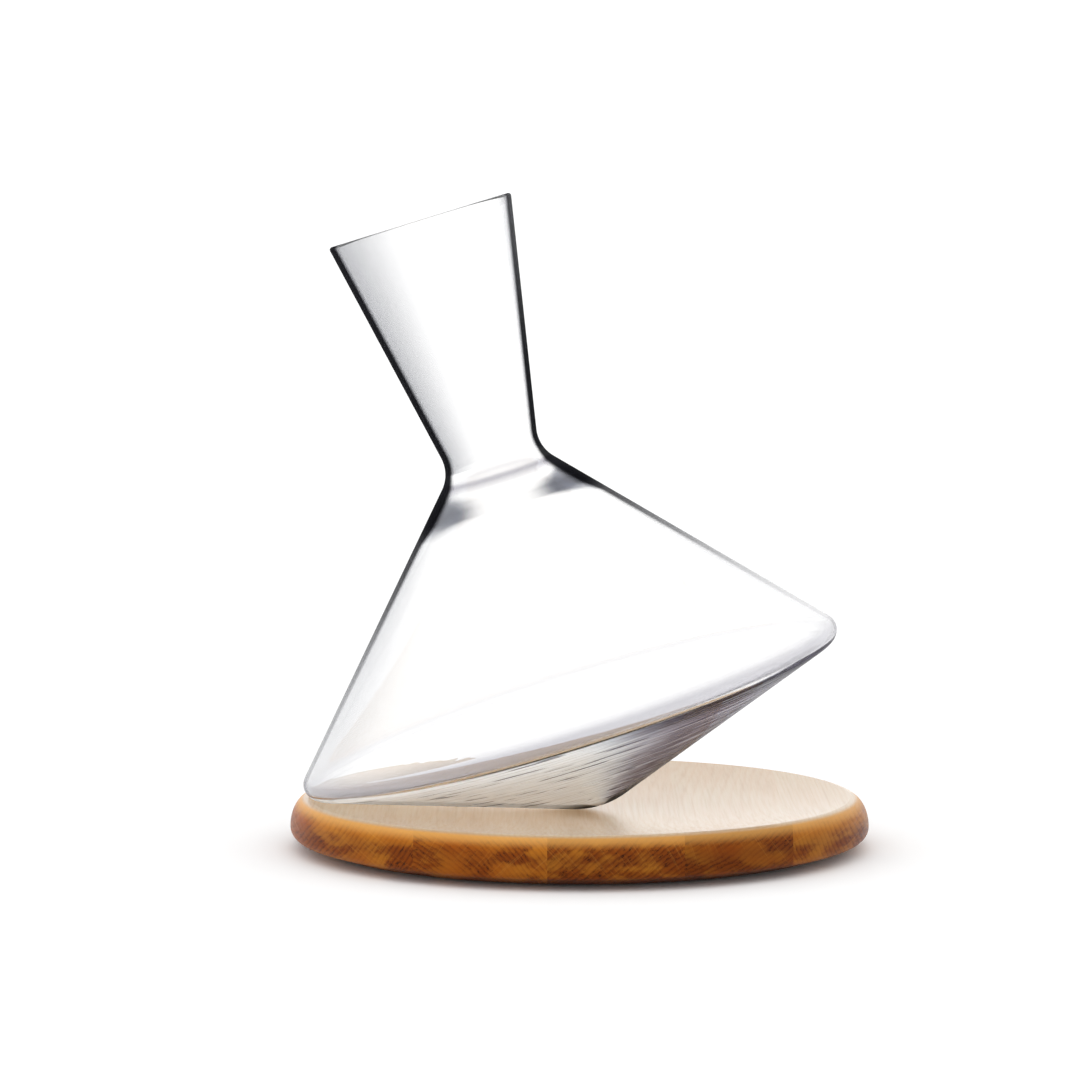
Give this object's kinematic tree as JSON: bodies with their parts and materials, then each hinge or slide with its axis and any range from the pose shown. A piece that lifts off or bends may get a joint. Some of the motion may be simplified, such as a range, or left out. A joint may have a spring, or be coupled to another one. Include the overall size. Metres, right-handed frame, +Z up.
{
  "type": "wine decanter",
  "caption": "Clear glass decanter with a flared neck and a wide pointed bowl, leaning in the shallow dish of a round oak base and free to swirl round it.",
  "frame": {"origin": "centre of the round base, on the plane that its foot pads stand on", "axes": "+Z up, the flask leans towards -X at rest, the front faces -Y"},
  "size_m": [0.23, 0.23, 0.2594],
  "materials": {
    "clear_glass": "clear, fire-polished",
    "oiled_oak": "turned oak under a satin lacquer",
    "pad_silicone": "matt translucent silicone"
  },
  "bodies": {
    "base": {"base_stave_1": "oiled_oak", "base_stave_2": "oiled_oak", "base_stave_3": "oiled_oak", "base_stave_4": "oiled_oak", "base_stave_5": "oiled_oak", "foot_pad_1": "pad_silicone", "foot_pad_2": "pad_silicone", "foot_pad_3": "pad_silicone", "foot_pad_4": "pad_silicone"},
    "flask": {"flask": "clear_glass"}
  },
  "joints": [
    {"name": "flask_swirl", "type": "hinge", "parent": "base", "child": "flask", "pos_m": [0, 0, 0.0147], "axis": [0, 0, 1], "continuous": true}
  ]
}
